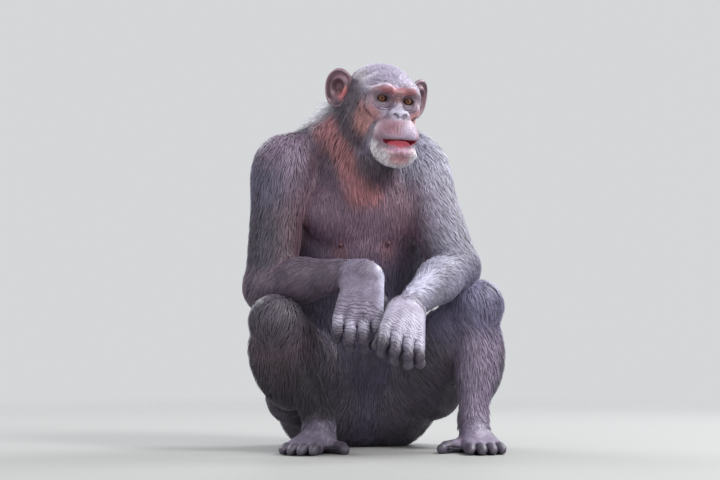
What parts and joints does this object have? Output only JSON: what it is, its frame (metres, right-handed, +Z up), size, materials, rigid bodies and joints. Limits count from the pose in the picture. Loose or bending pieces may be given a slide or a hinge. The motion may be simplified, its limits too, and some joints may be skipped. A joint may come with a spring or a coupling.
{
  "type": "seated chimpanzee model",
  "caption": "Life-size still model of an adult chimpanzee sitting with knees drawn up, forearms over its knees and hands hanging, head turned.",
  "frame": {"origin": "middle of the flat that it sits on, at floor level", "axes": "+Z up, -Y towards the front, +X to the animal's left"},
  "size_m": [0.5676, 0.6009, 0.8358],
  "materials": {
    "coat": "long coarse dark hair",
    "face_skin": "bare wrinkled brown skin",
    "hand_skin": "bare dark grey skin",
    "eye": "wet amber brown",
    "tongue": "moist pink"
  },
  "bodies": {
    "root": {"head": "face_skin", "tongue": "tongue", "neck": "coat", "chest": "coat", "abdomen": "coat", "pelvis": "coat", "eye_right": "eye", "ear_right": "face_skin", "upper_arm_right": "coat", "forearm_right": "coat", "hand_right": "hand_skin", "finger_index_right": "hand_skin", "finger_middle_right": "hand_skin", "finger_ring_right": "hand_skin", "finger_little_right": "hand_skin", "thumb_right": "hand_skin", "thigh_right": "coat", "shin_right": "coat", "foot_right": "hand_skin", "toe_second_right": "hand_skin", "toe_third_right": "hand_skin", "toe_fourth_right": "hand_skin", "toe_fifth_right": "hand_skin", "toe_big_right": "hand_skin", "eye_left": "eye", "ear_left": "face_skin", "upper_arm_left": "coat", "forearm_left": "coat", "hand_left": "hand_skin", "finger_index_left": "hand_skin", "finger_middle_left": "hand_skin", "finger_ring_left": "hand_skin", "finger_little_left": "hand_skin", "thumb_left": "hand_skin", "thigh_left": "coat", "shin_left": "coat", "foot_left": "hand_skin", "toe_second_left": "hand_skin", "toe_third_left": "hand_skin", "toe_fourth_left": "hand_skin", "toe_fifth_left": "hand_skin", "toe_big_left": "hand_skin"}
  },
  "joints": []
}
